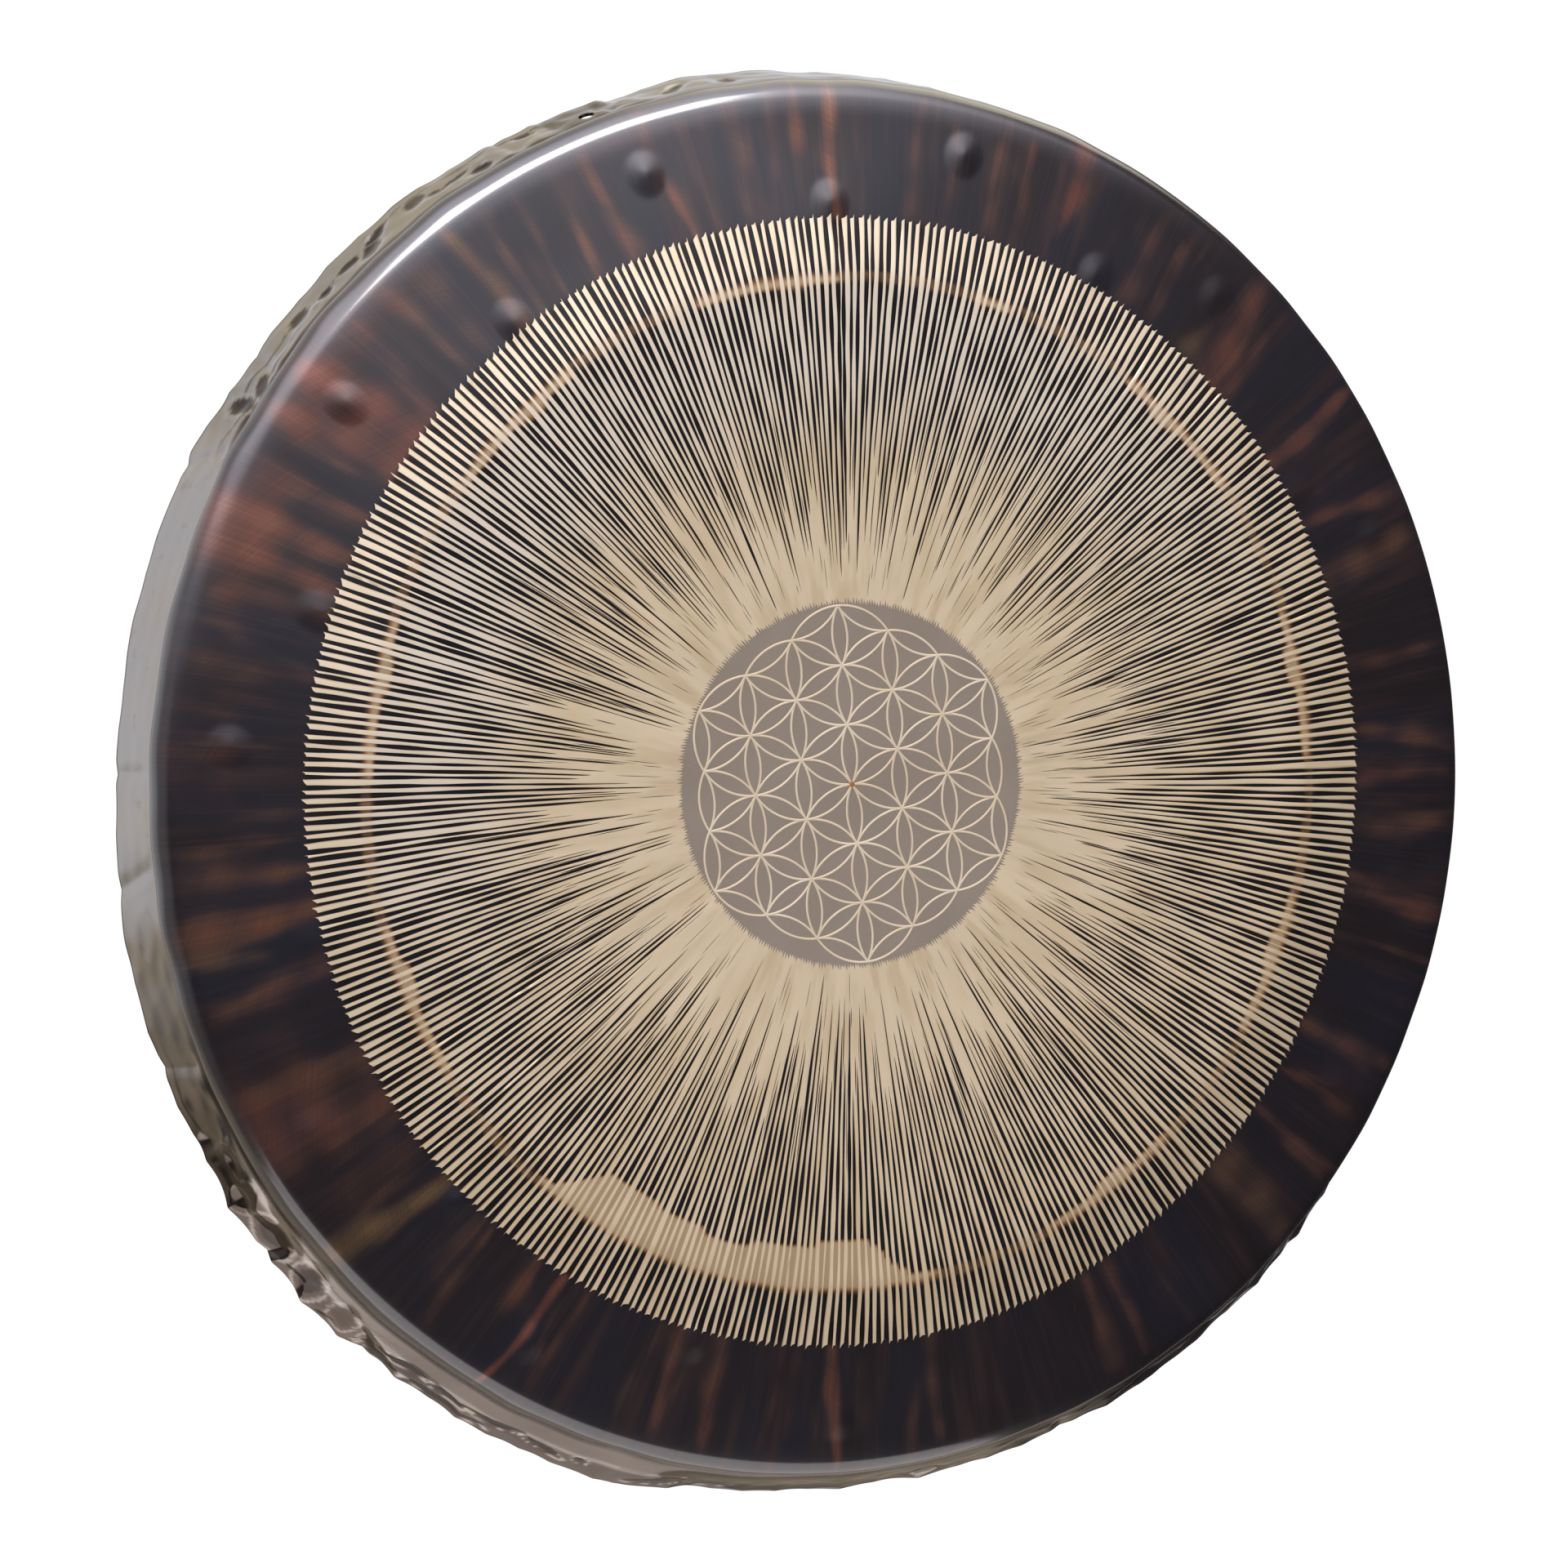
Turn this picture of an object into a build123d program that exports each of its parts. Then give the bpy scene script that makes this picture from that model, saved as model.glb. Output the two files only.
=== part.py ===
"""Tam tam gong: one round sheet of hammered bronze that hangs from two holes in its rim.

The sheet is worked in zones of different form and finish, and each zone is a solid of its own:
an engraved centre, a band of scraped rays, a dark ring, the rounded shoulder and the flared rim.
The zones meet face to face. The face looks towards -Y, the hollow back opens towards +Y, and the
origin is the middle of the whole gong's box.
"""

import os
from math import atan, cos, degrees, radians, sin, tan

from build123d import *

os.makedirs("parts", exist_ok=True)

# Driving dimensions, in millimetres
rim_radius = 457.0  # outside of the back edge: a 36 inch gong
sheet = 2.0  # thickness of the bronze
medallion_radius = 115.0  # engraved disc at the centre
ray_radius = 353.0  # tips of the rays
ridge_radius = 317.0  # low ridge where the dished middle turns back
bend_radius = 427.0  # where the shoulder starts to curl
shoulder_radius = 442.0  # widest point of the shoulder, where the rim flares out
shoulder_curl = 16.5  # outside radius of the curl
ridge_curl = 110.0  # radius of the gentle bend along the ridge
dish_curl = 4000.0  # radius of the shallow dish inside the ridge
dish_flat = 110.0  # where the dish's two straight runs would meet

# Depths behind the middle of the face
ridge_depth = -9.5  # the ridge stands in front of the middle
shoulder_slope = 6.1  # degrees that the dark ring falls back
shoulder_depth = 19.0
rim_depth = 51.0
rim_drop = 6.5  # the rim was hammered out lower than the face's centre

# Suspension holes in the rim
hole_radius = 5.0
hole_angle = 22.7  # degrees to each side of the top
hole_along = 0.28  # part of the way from the shoulder to the back edge

face_y = -(ridge_depth + rim_depth) / 2  # middle of the face, with the gong's box centred
shoulder_y = face_y + shoulder_depth
rim_y = face_y + rim_depth
corner_depth = ridge_depth + (shoulder_radius - ridge_radius) * tan(radians(shoulder_slope))

section_plane = Plane(origin=(0, face_y, rim_drop), x_dir=(1, 0, 0), z_dir=(0, 0, 1))
gong_axis = Axis((0, 0, rim_drop), (0, 1, 0))
shoulder_plane = Plane(origin=(0, shoulder_y, rim_drop), x_dir=(1, 0, 0), z_dir=(0, 1, 0))
rim_plane = Plane(origin=(0, rim_y, 0), x_dir=(1, 0, 0), z_dir=(0, 1, 0))


def sheet_zone(inner_radius, outer_radius):
    """Draw the part of the sheet's section that lies between two radii."""
    with BuildSketch(section_plane) as section:
        with BuildLine():
            FilletPolyline(
                (-dish_flat, 0),
                (dish_flat, 0),
                (ridge_radius, ridge_depth),
                (shoulder_radius, corner_depth),
                (shoulder_radius, shoulder_depth),
                radius=(dish_curl, ridge_curl, shoulder_curl),
            )
            offset(amount=sheet, side=Side.LEFT)
        make_face()
        with Locations(((inner_radius + outer_radius) / 2, 0)):
            Rectangle(outer_radius - inner_radius, 2 * rim_depth, mode=Mode.INTERSECT)
    return section


# Engraved disc in the middle of the face
with BuildPart() as centre_medallion:
    add(sheet_zone(0, medallion_radius).sketch)
    revolve(axis=gong_axis)

# Band that carries the scraped rays and the ridge
with BuildPart() as ray_band:
    add(sheet_zone(medallion_radius, ray_radius).sketch)
    revolve(axis=gong_axis)

# Dark ring outside the rays
with BuildPart() as patina_ring:
    add(sheet_zone(ray_radius, bend_radius).sketch)
    revolve(axis=gong_axis)

# Rounded shoulder that turns the face back into the rim
with BuildPart() as shoulder:
    add(sheet_zone(bend_radius, shoulder_radius).sketch)
    revolve(axis=gong_axis)

# Flared rim, wider towards the back, with the two holes for the hanging cord
rim_length = rim_depth - shoulder_depth
hole_flare = rim_radius - shoulder_radius - rim_drop * cos(radians(hole_angle))
hole_tilt = atan(hole_flare / rim_length)
hole_distance = (
    shoulder_radius + hole_along * (rim_radius - shoulder_radius) - sheet / 2
)
hole_planes = []
hole_mounts = {}
for side, name in ((-1, "left"), (1, "right")):
    turn = side * radians(hole_angle)
    normal = Vector(
        sin(turn) * cos(hole_tilt), -sin(hole_tilt), cos(turn) * cos(hole_tilt)
    )
    wall_middle = Vector(
        hole_distance * sin(turn),
        shoulder_y + hole_along * rim_length,
        hole_distance * cos(turn) + rim_drop * (1 - hole_along),
    )
    hole_planes.append(Plane(origin=wall_middle + normal * 3 * sheet, z_dir=normal))
    hole_mounts[name] = (wall_middle, normal)

with BuildPart() as rim_flange:
    with BuildSketch(shoulder_plane):
        Circle(shoulder_radius)
    with BuildSketch(rim_plane):
        Circle(rim_radius)
    loft(ruled=True)
    with BuildSketch(shoulder_plane):
        Circle(shoulder_radius - sheet)
    with BuildSketch(rim_plane):
        Circle(rim_radius - sheet)
    loft(ruled=True, mode=Mode.SUBTRACT)
    with Locations(*hole_planes):
        Hole(hole_radius, depth=6 * sheet)

for name, (wall_middle, normal) in hole_mounts.items():
    print(f"hole {name}: middle of the wall {wall_middle}, outward {normal}")
print(f"holes lean {degrees(hole_tilt):.2f} degrees towards the face")

pieces = {
    "centre_medallion": centre_medallion,
    "ray_band": ray_band,
    "patina_ring": patina_ring,
    "shoulder": shoulder,
    "rim_flange": rim_flange,
}
for name, piece in pieces.items():
    piece.part.label = name
    export_step(piece.part, f"parts/{name}.step")
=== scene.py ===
"""The finished look of a tam tam gong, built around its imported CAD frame.

Every piece is a closed shell in metres, in the CAD's frame: the face looks towards -Y and +Z is up.
An angle on the gong runs clockwise from the top, seen from the front, and a depth is measured
back from the middle of the face.
"""

from collections import namedtuple
from math import atan2, hypot, pi, radians, sin, cos, tan

import bpy
import numpy as np
from mathutils import Matrix, Vector


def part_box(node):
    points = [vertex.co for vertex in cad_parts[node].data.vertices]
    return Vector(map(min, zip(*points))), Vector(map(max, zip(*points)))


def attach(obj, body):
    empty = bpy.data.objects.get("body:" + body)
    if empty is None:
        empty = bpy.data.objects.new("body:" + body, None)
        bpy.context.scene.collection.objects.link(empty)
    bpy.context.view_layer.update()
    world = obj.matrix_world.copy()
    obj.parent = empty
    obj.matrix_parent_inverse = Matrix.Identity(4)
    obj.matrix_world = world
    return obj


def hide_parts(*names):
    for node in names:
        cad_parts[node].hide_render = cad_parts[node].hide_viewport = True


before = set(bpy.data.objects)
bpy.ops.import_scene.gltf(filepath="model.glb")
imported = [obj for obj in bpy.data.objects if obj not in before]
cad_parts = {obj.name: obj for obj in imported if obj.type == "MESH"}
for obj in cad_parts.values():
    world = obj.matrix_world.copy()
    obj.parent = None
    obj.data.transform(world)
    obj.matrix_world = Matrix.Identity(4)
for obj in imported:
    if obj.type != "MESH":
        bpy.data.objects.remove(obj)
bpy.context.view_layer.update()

MM = 0.001

# ---- sizes, from the frame


def half_width(node):
    """Outer radius of a round CAD node."""
    low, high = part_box(node)
    return (high.x - low.x) / 2


MEDALLION = half_width("centre_medallion")
RAYS = half_width("ray_band")
BEND = half_width("patina_ring")
SHOULDER = half_width("shoulder")
RIM = half_width("rim_flange")
AXIS_Z = (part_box("patina_ring")[0].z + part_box("patina_ring")[1].z) / 2
SHEET = 2 * MM  # thickness of the bronze
FACE_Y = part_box("centre_medallion")[1].y - SHEET
CREASE_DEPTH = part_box("rim_flange")[0].y - FACE_Y
RIM_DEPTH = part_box("rim_flange")[1].y - FACE_Y

# The face's section: a shallow dish, a low ridge, a ring that falls back, and a round shoulder
DISH_FLAT = 110 * MM
RIDGE = 317 * MM
RIDGE_DEPTH = -9.5 * MM
RING_SLOPE = radians(6.1)
CURLS = (4000 * MM, 110 * MM, 16.5 * MM)  # radii of the dish, the ridge and the shoulder
# The shoulder starts to turn gently a little before its curl
EASE_BEFORE = 12 * MM
EASE_LENGTH = 14 * MM
EASE_TURN = radians(6.6)

# The two suspension holes
HOLE_RADIUS = 5 * MM
HOLE_ANGLE = radians(22.7)
HOLE_ALONG = 0.28  # share of the rim's width behind the crease

COLUMNS = 1440  # mesh columns round the gong
FAN_RADIUS = 4 * MM  # a disc's mesh is a fan inside this radius
TURN = 2 * pi

Rows = namedtuple("Rows", "radius depth slope")


def section_line(step=0.1 * MM):
    """Distance along, radius, depth and slope of the front, from the middle to the crease."""
    corner = RIDGE_DEPTH + (SHOULDER - RIDGE) * tan(RING_SLOPE)
    corners = [(0, 0), (DISH_FLAT, 0), (RIDGE, RIDGE_DEPTH), (SHOULDER, corner), (SHOULDER, CREASE_DEPTH)]
    runs = [(b[0] - a[0], b[1] - a[1]) for a, b in zip(corners, corners[1:])]
    slopes = [atan2(depth, width) for width, depth in runs]
    cuts = [0] + [curl * tan(abs(b - a) / 2) for curl, a, b in zip(CURLS, slopes, slopes[1:])] + [0]
    stations, turned = [0.0], [slopes[0]]
    for i, (width, depth) in enumerate(runs):
        stations.append(stations[-1] + hypot(width, depth) - cuts[i] - cuts[i + 1])
        turned.append(slopes[i])
        if i < len(CURLS):
            stations.append(stations[-1] + CURLS[i] * abs(slopes[i + 1] - slopes[i]))
            turned.append(slopes[i + 1])
    along = np.linspace(0, stations[-1], int(stations[-1] / step))
    slope = np.interp(along, stations, turned)
    bend_starts = stations[turned.index(RING_SLOPE, 2) + 1]
    eased = np.clip((along - bend_starts + EASE_BEFORE) / EASE_LENGTH, 0, 1) ** 1.5
    eased_slope = np.maximum(slope, RING_SLOPE + EASE_TURN * eased)
    slope = np.where(along > bend_starts - EASE_BEFORE, eased_slope, slope)
    middle = (slope[1:] + slope[:-1]) / 2
    pace = along[1] - along[0]
    radius = np.concatenate([[0], np.cumsum(np.cos(middle)) * pace])
    depth = np.concatenate([[0], np.cumsum(np.sin(middle)) * pace])
    kept = depth <= CREASE_DEPTH
    return along[kept], radius[kept], depth[kept], slope[kept]


LINE, LINE_RADIUS, LINE_DEPTH, LINE_SLOPE = section_line()


def along_at(radius):
    """Distance along the section at a radius inside the shoulder."""
    return float(np.interp(radius, LINE_RADIUS, LINE))


def face_rows(start, end, count):
    """Rows across the face between two distances along its section."""
    along = np.linspace(start, end, count)
    return Rows(*(np.interp(along, LINE, values) for values in (LINE_RADIUS, LINE_DEPTH, LINE_SLOPE)))


# ---- hammer work


def smooth(value, low, high):
    """0 below low, 1 above high, and an S-curve between."""
    t = np.clip((value - low) / (high - low), 0, 1)
    return t * t * (3 - 2 * t)


def turned_by(angle, degrees):
    """Signed distance of an angle from a place given in degrees, the short way round."""
    return (angle - radians(degrees) + pi) % TURN - pi


def random_waves(count, orders, seed):
    """Waves round the gong: their order, their phase and their drift with radius."""
    own = np.random.default_rng(seed)
    return [(int(own.integers(*orders)), own.uniform(0, TURN), own.uniform(-60, 60)) for _ in range(count)]


def sum_waves(waves, angle, radius):
    """Sum of the waves, about 1 high at most."""
    total = sum(np.sin(order * angle + phase + drift * radius) for order, phase, drift in waves)
    return total / len(waves) ** 0.5 / 1.5


FACE_WAVES = random_waves(7, (3, 17), 5)
CREASE_WAVES = random_waves(8, (9, 60), 8)
EDGE_WAVES = random_waves(9, (7, 48), 11)
RUN_WAVES = random_waves(6, (12, 70), 14)

# Bumps in the dark ring, pushed out from behind: degrees, radius in mm, height in mm
BUMPS = [
    (-179.7, 402, 2.4), (-149, 400, 2.7), (-121, 402, 1.3), (-86.7, 399, 1.6), (-55.3, 401, 2.0),
    (-21, 400, 2.0), (9.7, 402, 2.0), (38, 401, 1.2), (66, 400, 1.3), (95.7, 401, 1.2), (119.7, 400, 1.3),
    (150, 401, 1.3), (-163.7, 362, 2.9), (-134.7, 361, 2.6), (-105, 360, 0.7), (-73.3, 361, 1.3),
    (-39, 361, 1.7), (-3.7, 363, 1.9), (26, 362, 1.4), (58, 361, 0.9), (88, 361, 0.9), (127, 362, 0.9),
    (165, 361, 0.9),
]
BUMP_WIDE, BUMP_LONG = 13.5 * MM, 16 * MM  # half sizes, round the gong and along a radius
BUMP_TIP, BUMP_FOOT = 0.12, 0.12  # roundness of the tip and the foot, as shares of the half size


def bumps(angle, radius):
    """Height of the bumps of the dark ring: low cones with a round tip and a fading foot."""
    height = 0
    for degrees, mm, tall in BUMPS:
        across = turned_by(angle, degrees) * mm * MM / BUMP_WIDE
        along = (radius - mm * MM) / BUMP_LONG
        cone = np.clip(1 - np.sqrt(across**2 + along**2 + BUMP_TIP**2), 0, 1)
        height = height + tall * MM * cone**2 / (cone + BUMP_FOOT)
    return height


def crease_wobble(angle):
    """How far the crease between shoulder and rim strays in radius."""
    flatter_right = -5 * MM * np.maximum(0, np.cos(angle - radians(80))) ** 4
    return flatter_right + 0.7 * MM * sum_waves(CREASE_WAVES, angle, 0)


def late_rim(angle):
    """1 at the bottom and lower left, where the shoulder runs on over half of the rim."""
    return smooth(np.abs(turned_by(angle, -172)), radians(65), radians(25))


def crease_setback(angle):
    """How far the shoulder runs on before the crease."""
    return 6 * MM * late_rim(angle) + 0.9 * MM * sum_waves(EDGE_WAVES, angle, 0)


def relief(angle, radius, slope):
    """How far the face and shoulder stand out from the plain section."""
    face = 0.25 * MM * sum_waves(FACE_WAVES, angle, radius) * smooth(radius, 0.02, 0.2)
    turning = smooth(slope, radians(25), radians(85))
    return face * (1 - turning) + bumps(angle, radius) + crease_wobble(angle) * turning


# How strongly each stretch of the rim is hammered: degrees, share
RIM_WORK = [
    (-180, 0.5), (-162, 0.5), (-150, 0.7), (-139, 1.3), (-124, 1.4), (-114, 0.5), (-106, 0.2), (-66, 0.16),
    (-58, 0.7), (-52, 0.45), (-32, 0.4), (-28, 0.7), (-20, 0.7), (-17, 0.3), (0, 0.35), (30, 0.5),
    (70, 0.3), (120, 0.9), (150, 0.7), (180, 0.5),
]
# How dark the rim is, round the gong: degrees, share
RIM_TONE = [
    (-180, 0.75), (-166, 0.8), (-160, 0.74), (-142, 0.74), (-138, 0.70), (-120, 0.70), (-114, 0.35),
    (-100, 0.12), (-90, 0.05), (-66, 0), (-61, 0.25), (-30, 0.2), (-26.0, 0.2), (-25.7, 0.62),
    (-20.4, 0.62), (-20.0, 0.2), (0, 0.2), (28, 0.3), (60, 0.1), (100, 0.2), (122, 0.7), (140, 0.5),
    (165, 0.3), (180, 0.75),
]
# How far the rim's back edge strays in radius: degrees, mm
RIM_EDGE = [
    (-180, -7), (-169, -6), (-163, 1), (-150, -0.5), (-141, -2), (-135, 1), (-118, -0.5), (-104, 0.5),
    (-90, -2), (-76, 0), (-64, 2), (-58, -0.5), (-50, -0.5), (-40, 1.5), (-30, 1), (-27, 0.5), (-21, 0),
    (-18, -1), (-12, 1), (-4, -1), (6, -2), (28, -3), (45, 1), (62, -1), (90, 1), (112, -2), (130, 1),
    (150, 0), (165, -4), (180, -7),
]
# Sharp folds across the rim: degrees, depth in mm, degrees that they lean from crease to edge
RIM_FOLDS = [
    (-112, 1.6, 1.0), (-97, 1.0, -1.0), (-89, 1.3, 0.6), (-64, 1.8, -1.2), (-55.5, 1.2, 1.5),
    (-29.3, 1.8, -0.5), (-20.2, 1.4, 1.5), (-129, 1.6, 2.0), (-138, 1.4, -2.0), (24, 1.3, 1.2),
    (61, 1.4, -1.0), (93, 1.1, 0.8), (131, 1.5, 1.5), (158, 1.2, -1.4),
]
Dent = namedtuple("Dent", "degrees along half_round half_across depth scale lean")
# Dents of the rim: degrees, share of the width, half sizes in mm round and across, depth in mm,
# how dark they are painted (scale, and partly a painted dark reflection), and their lean in mm across for
# each mm round
RIM_DENTS = [Dent(*values) for values in (
    (-53.6, 0.47, 11, 7, 1.8, 0.3, 0), (-51.0, 0.55, 9, 7, 1.4, 0.72, 0),
    (-48.3, 0.44, 6, 4.5, 1.6, 0.9, 0), (-45.3, 0.5, 10, 4, 1.2, 0.8, 0),
    (-42.2, 0.62, 14, 5, 1.6, 0.85, 0.45), (-43.4, 0.36, 10, 6, 1.3, 0.8, 0.3),
    (-37.9, 0.62, 9, 7, 1.5, 0.7, 0.2), (-36.3, 0.47, 6, 4, 1.1, 0.7, -0.3),
    (-34.3, 0.5, 12, 3.2, 1.1, 0.75, 0.3), (-32.4, 0.29, 8.5, 5.5, 1.7, 0.9, 0),
    (-27.4, 0.7, 7, 5, 1.6, 0.8, -0.3), (-25.4, 0.6, 3, 13, 1.0, 0.2, 0),
    (-21.2, 0.62, 3.5, 9, 1.0, 0.0, 0), (-14.9, 0.42, 9, 6, 2.0, 0.9, 0.5),
    (-10.3, 0.4, 6, 8, 1.8, 0.85, 0), (-59.3, 0.45, 7, 13, 1.6, 0.85, 0),
    (-57.4, 0.25, 9, 6, 1.2, 0.75, 0.3), (-118.3, 0.6, 7, 11, 2.0, 0.1, 0),
    (-120.5, 0.4, 11, 5, 1.6, 0.6, 0), (-123.5, 0.75, 8, 6, 1.8, 0.5, 0),
    (-127.3, 0.62, 15, 11, 2.8, 0.85, 0), (-132.0, 0.6, 11, 12, 2.2, 0.85, 0),
    (-136, 0.6, 9, 9, 2.0, 0.75, 0), (-139.6, 0.75, 10, 6, 1.8, 0.8, 0),
    (-142.5, 0.6, 20, 3.0, 1.9, 1.0, 0.05), (-147, 0.66, 16, 2.6, 1.7, 1.0, -0.05),
    (-151.5, 0.63, 17, 2.8, 1.8, 1.0, 0.1), (-156, 0.72, 14, 2.6, 1.6, 1.0, -0.15),
    (-147, 0.9, 26, 2.2, 1.5, 1.0, 0), (-140.5, 0.92, 16, 2.2, 1.4, 1.0, 0),
    (-159.3, 0.64, 5, 3, 1.3, 0.9, 0), (-166, 0.8, 16, 3, 1.4, 0.9, 0.15),
    (-171, 0.8, 12, 3, 1.4, 0.9, 0.1), (6, 0.5, 7, 5, 1.5, 0.8, 0), (14, 0.6, 11, 5, 1.5, 0.7, 0.2),
    (34, 0.5, 12, 6, 1.7, 0.8, 0), (42, 0.45, 8, 6, 1.5, 0.9, 0.2), (52, 0.6, 7, 5, 1.4, 0.7, 0),
    (75, 0.5, 8, 5, 1.2, 0.6, 0), (103, 0.5, 10, 6, 1.4, 0.7, 0.3), (110, 0.4, 7, 5, 1.5, 0.9, 0),
    (121, 0.45, 12, 8, 1.9, 0.9, 0), (127, 0.6, 14, 6, 2.0, 0.9, 0), (143, 0.6, 12, 4, 1.6, 0.8, 0),
    (150, 0.7, 16, 2.6, 1.5, 0.9, 0.1), (170, 0.7, 12, 4, 1.4, 0.8, 0),
)]
HAMMER_ROWS = (0.1, 0.5, 0.92)  # shares of the rim's width
HAMMER_SPACING = 24 * MM
HAMMER_CURVE = 55 * MM  # radius that each blow leaves
HAMMER_BLEND = 0.28 * MM  # height over which neighbouring blows run together
RIPPLE = 0.10 * MM  # height of the low waves along the rim
RIPPLES = 2.7  # waves across the rim's width
FOLD_WIDTH = radians(1.1)  # to each side of a fold
RIM_WIDTH = hypot(RIM - SHOULDER, RIM_DEPTH - CREASE_DEPTH)
# Wandering lines of scale: the waves that they follow, their share of the width, their strength
SCALE_LINES = [(CREASE_WAVES, 0.26, 0.62), (EDGE_WAVES, 0.80, 0.7), (RUN_WAVES, 0.55, 0.6)]


def round_the_rim(angle, listed):
    """Value at an angle of a list of degrees and shares."""
    places, shares = zip(*listed)
    degrees = (np.degrees(angle) + 180) % 360 - 180
    return np.interp(degrees, places, shares)


def hammer_facets(angle, t):
    """Overlapping shallow dishes left by the hammer, in metres above their middles."""
    own = np.random.default_rng(31)
    around = int(TURN * SHOULDER / HAMMER_SPACING)
    nearness = np.zeros(np.broadcast(angle, t).shape)
    for row, middle in enumerate(HAMMER_ROWS):
        for i in range(around):
            spot = (i + 0.5 * (row % 2) + own.uniform(-0.35, 0.35)) * TURN / around
            across = ((angle - spot + pi) % TURN - pi) * SHOULDER
            down = (t - middle - own.uniform(-0.15, 0.15)) * RIM_WIDTH
            dish = (across**2 + down**2) / (2 * HAMMER_CURVE) + own.uniform(0, 0.35) * MM
            nearness = nearness + np.exp(-dish / HAMMER_BLEND)
    return -HAMMER_BLEND * np.log(nearness + 1e-12)


def dent_shape(angle, t, dent):
    """Shape of one dent, 1 in its middle."""
    across = turned_by(angle, dent.degrees) * SHOULDER
    down = (t - dent.along) * RIM_WIDTH - dent.lean * across
    far = (across / (dent.half_round * MM)) ** 2 + (down / (dent.half_across * MM)) ** 2
    return np.exp(-0.9 * far)


def rim_start(angle, t):
    """0 near the crease, where the rim is still smooth, and 1 from where it is hammered."""
    late = 0.42 * late_rim(angle)
    return smooth(t, late, late + 0.2)


def rim_relief(angle, t):
    """How far the rim stands out, in radius, from the plain flared wall."""
    work = round_the_rim(angle, RIM_WORK)
    begun = rim_start(angle, t)
    out = round_the_rim(angle, RIM_EDGE) * MM * smooth(t, 0, 1)
    out = out + (0.4 + 0.6 * work) * MM * sum_waves(EDGE_WAVES, angle, t * 0.03) * t
    out = out + work * begun * hammer_facets(angle, t)
    stray = 2.5 * sum_waves(CREASE_WAVES, angle, 0)
    out = out + RIPPLE * begun * np.sin(TURN * RIPPLES * t + stray)
    for degrees, deep, lean in RIM_FOLDS:
        across = np.abs(turned_by(angle, degrees) - radians(lean) * (t - 0.5))
        out = out - deep * MM * begun * np.maximum(0, 1 - across / FOLD_WIDTH) ** 1.3
    for dent in RIM_DENTS:
        out = out - dent.depth * MM * dent_shape(angle, t, dent)
    return crease_wobble(angle) + out


def scale_lines(angle, t):
    """Dark lines of scale that wander along the hammered stretches, a dark band along the back edge, and
    painted shade along the crease.
    """
    work = np.clip(2.6 * round_the_rim(angle, RIM_WORK) - 0.4, 0, 1)
    # A dark band along the back edge, and painted shade in the crease along the hammered stretches.
    dark = 0.75 * smooth(t, 0.95, 0.985) + 0.8 * work * smooth(t, 0.13, 0.06)
    for waves, middle, strong in SCALE_LINES:
        course = middle + 0.075 * sum_waves(waves, angle, 0)
        fading = smooth(np.sin(9 * angle + 40 * middle), -0.3, 0.5)
        dark = np.maximum(dark, strong * work * fading * smooth(np.abs(t - course), 0.055, 0.02))
    return dark


def rim_darkness(angle, t):
    """How dark the rim is: the tone of its stretch, and each dent's dark middle and paler ring, partly
    scale and partly a painted dark reflection.
    """
    stray = sum_waves(CREASE_WAVES, angle, 6 * t)
    dark = round_the_rim(angle + radians(0.3) * stray, RIM_TONE) * rim_start(angle, t)
    dark = np.maximum(dark, 0.62 * late_rim(angle) * (1 - rim_start(angle, t)))
    dark = np.maximum(dark, scale_lines(angle, t))
    for dent in RIM_DENTS:
        shape = dent_shape(angle + radians(0.15) * stray, t, dent)
        # Painted dark reflection, partly scale: a paler ring round each dent and a dark middle.
        outline = smooth(np.abs(shape - 0.27), 0.10, 0.02)
        dark = dark * (1 - 0.6 * outline * dent.scale)
        dark = np.maximum(dark, dent.scale * smooth(shape, 0.31, 0.66))
    return dark


# ---- meshes


def place(angle, radius, depth, raised=1.0):
    """Points in the object's frame. raised is 1 on the axis of the face, and 0 at the rim's back edge."""
    x = radius * np.sin(angle)
    z = AXIS_Z * raised + radius * np.cos(angle)
    return np.stack(np.broadcast_arrays(x, FACE_Y + depth, z), -1)


def face_points(angle, radius, lift):
    """Points that lie lift in front of the face's surface."""
    slope = np.interp(radius, LINE_RADIUS, LINE_SLOPE)
    out = lift + relief(angle, radius, slope)
    depth = np.interp(radius, LINE_RADIUS, LINE_DEPTH)
    return place(angle, radius + out * np.sin(slope), depth - out * np.cos(slope))


def points_of(*grids):
    """All the points of some grids, in one list."""
    return np.concatenate([grid.reshape(-1, 3) for grid in grids])


def sheet_points(angle, rows, inset):
    """Points on the front of the sheet, or inset behind it, at every angle and row."""
    a = angle[:, None]
    out = relief(a, rows.radius, rows.slope) - inset
    late = crease_setback(a) * smooth(rows.slope, radians(40), radians(88))
    depth = rows.depth - out * np.cos(rows.slope) + late
    return place(a, rows.radius + out * np.sin(rows.slope), depth)


def rim_points(angle, t, inset):
    """Points on the outside of the rim, or inset inside it. angle and t are full grids."""
    radius = SHOULDER + t * (RIM - SHOULDER) + rim_relief(angle, t) - inset
    depth = CREASE_DEPTH + t * (RIM_DEPTH - CREASE_DEPTH) + crease_setback(angle) * (1 - t)
    return place(angle, radius, depth, 1 - t)


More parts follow.
